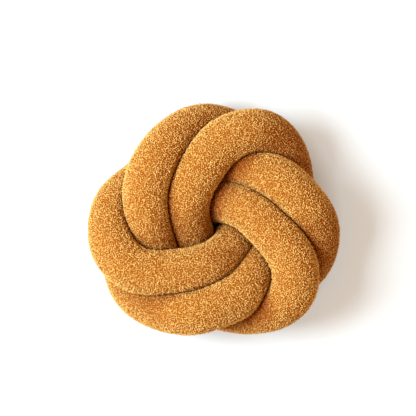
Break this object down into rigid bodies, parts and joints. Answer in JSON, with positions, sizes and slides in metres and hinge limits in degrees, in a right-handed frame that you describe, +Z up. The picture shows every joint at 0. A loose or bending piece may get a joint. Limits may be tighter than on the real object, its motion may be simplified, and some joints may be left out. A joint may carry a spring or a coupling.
{
  "type": "knot cushion",
  "caption": "Round flat knot cushion: one long stuffed tube of looped cloth, wound and knotted on itself in two layers.",
  "frame": {"origin": "on the surface that the cushion lies on, under the middle of its outline", "axes": "+Z up out of the cushion's face, square to its flat side; +X to the right and +Y up the face as pictured"},
  "size_m": [0.3624, 0.334, 0.1306],
  "materials": {
    "looped_cloth": "matt mustard-orange looped (boucle) pile"
  },
  "bodies": {
    "root": {"knot_tube": "looped_cloth"}
  },
  "joints": []
}
